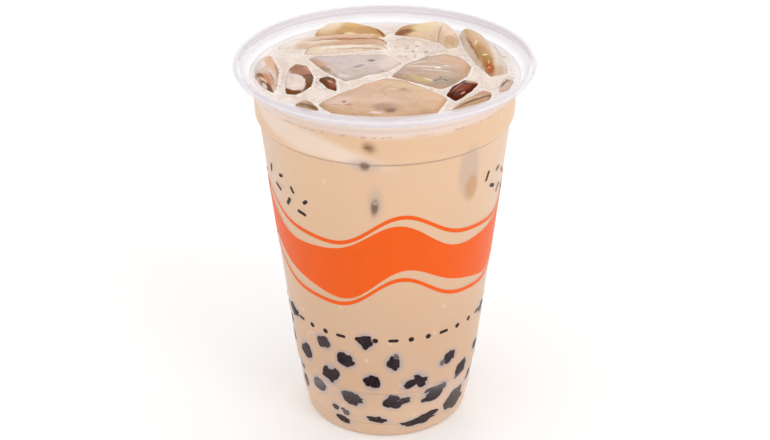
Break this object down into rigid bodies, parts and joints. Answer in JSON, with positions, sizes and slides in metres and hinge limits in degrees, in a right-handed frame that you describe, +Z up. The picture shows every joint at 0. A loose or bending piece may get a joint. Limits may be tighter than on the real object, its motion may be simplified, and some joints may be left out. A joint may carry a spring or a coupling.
{
  "type": "iced milk tea in plastic cup",
  "caption": "Iced milk tea with tapioca pearls in a clear tapered plastic cup with a rolled lip, filled to just under the lip with ice breaking the surface.",
  "frame": {"origin": "middle of the foot ring, on the plane that the cup stands on", "axes": "+Z up along the cup's axis; -Y is the side that faces the camera of the reference view, +X its right"},
  "size_m": [0.095, 0.095, 0.1262],
  "materials": {
    "clear_plastic": "clear, faintly milky polypropylene with a soft gloss",
    "milk_tea": "opaque milky tea with a wet, faintly frothy surface",
    "ice": "clear wet ice tinted by the tea round it"
  },
  "bodies": {
    "root": {"cup": "clear_plastic", "milk_tea": "milk_tea", "ice_left": "ice", "ice_hollow": "ice", "ice_chip": "ice", "ice_front_chip": "ice", "ice_front": "ice", "ice_flat": "ice", "ice_dome": "ice", "ice_bar_near": "ice", "ice_bar_far": "ice", "ice_back_left": "ice", "ice_back_right": "ice", "ice_right": "ice", "ice_dark": "ice", "ice_sliver": "ice", "ice_small": "ice"}
  },
  "joints": []
}
